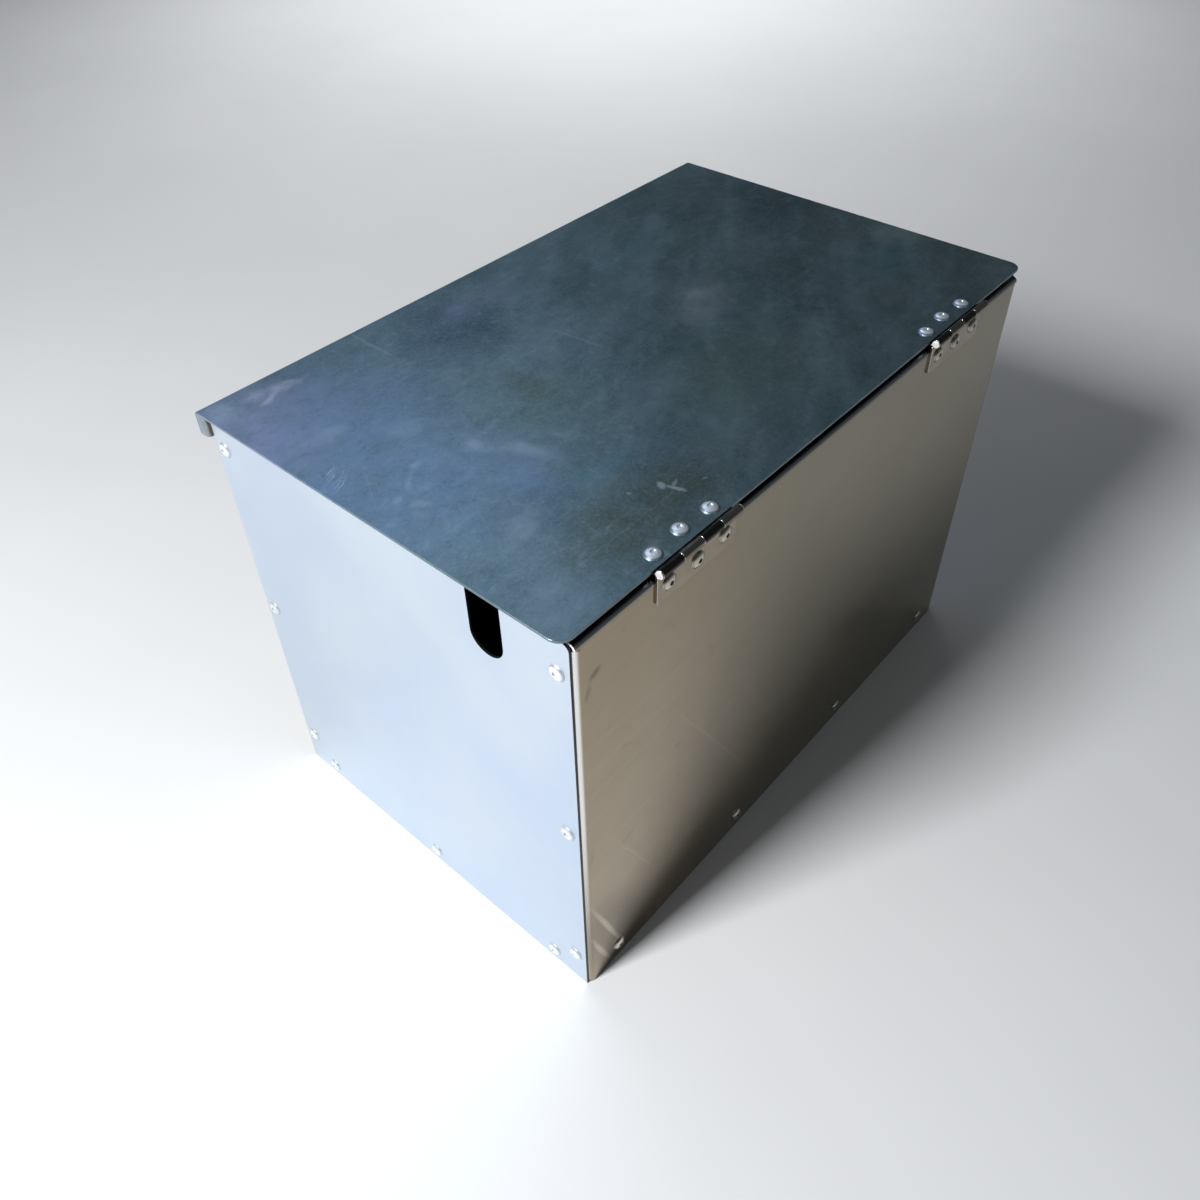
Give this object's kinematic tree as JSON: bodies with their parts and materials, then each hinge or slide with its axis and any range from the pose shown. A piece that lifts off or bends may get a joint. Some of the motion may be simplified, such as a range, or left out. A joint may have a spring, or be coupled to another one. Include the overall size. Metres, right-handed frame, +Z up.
{
  "type": "hydraulic reservoir housing",
  "caption": "Rectangular riveted sheet-metal housing with a hinged overhanging lid and an open-topped hose slot in one end.",
  "frame": {"origin": "middle of the overall box, on the surface that the housing stands on", "axes": "+X along the length towards the end with the hose slot, +Y towards the hinges, +Z up"},
  "size_m": [0.433, 0.276, 0.3038],
  "materials": {
    "zinc_sheet": "smooth zinc-coated sheet, satin, with handling smears and fine scratches",
    "hinge_steel": "bright zinc-plated strip",
    "rivet_aluminium": "bright as-formed blind rivets",
    "mandrel_steel": "broken steel mandrels, dull"
  },
  "bodies": {
    "case": {"floor_pan": "zinc_sheet", "front_floor_mandrels": "mandrel_steel", "front_floor_rivets": "rivet_aluminium", "front_panel": "zinc_sheet", "left_end_floor_mandrels": "mandrel_steel", "left_end_floor_rivets": "rivet_aluminium", "left_end_front_mandrels": "mandrel_steel", "left_end_front_rivets": "rivet_aluminium", "left_end_panel": "zinc_sheet", "left_end_rear_mandrels": "mandrel_steel", "left_end_rear_rivets": "rivet_aluminium", "left_hinge_case_leaf": "hinge_steel", "left_hinge_case_mandrels": "mandrel_steel", "left_hinge_case_rivets": "rivet_aluminium", "left_hinge_pin": "hinge_steel", "rear_floor_mandrels": "mandrel_steel", "rear_floor_rivets": "rivet_aluminium", "rear_panel": "zinc_sheet", "right_end_floor_mandrels": "mandrel_steel", "right_end_floor_rivets": "rivet_aluminium", "right_end_front_mandrels": "mandrel_steel", "right_end_front_rivets": "rivet_aluminium", "right_end_panel": "zinc_sheet", "right_end_rear_mandrels": "mandrel_steel", "right_end_rear_rivets": "rivet_aluminium", "right_hinge_case_leaf": "hinge_steel", "right_hinge_case_mandrels": "mandrel_steel", "right_hinge_case_rivets": "rivet_aluminium", "right_hinge_pin": "hinge_steel"},
    "lid": {"left_hinge_lid_leaf": "hinge_steel", "left_hinge_lid_mandrels": "mandrel_steel", "left_hinge_lid_rivets": "rivet_aluminium", "lid": "zinc_sheet", "right_hinge_lid_leaf": "hinge_steel", "right_hinge_lid_mandrels": "mandrel_steel", "right_hinge_lid_rivets": "rivet_aluminium"}
  },
  "joints": [
    {"name": "lid_hinge", "type": "hinge", "parent": "case", "child": "lid", "pos_m": [0, 0.1355, 0.3013], "axis": [-1, 0, 0], "range_deg": [0, 254]}
  ]
}
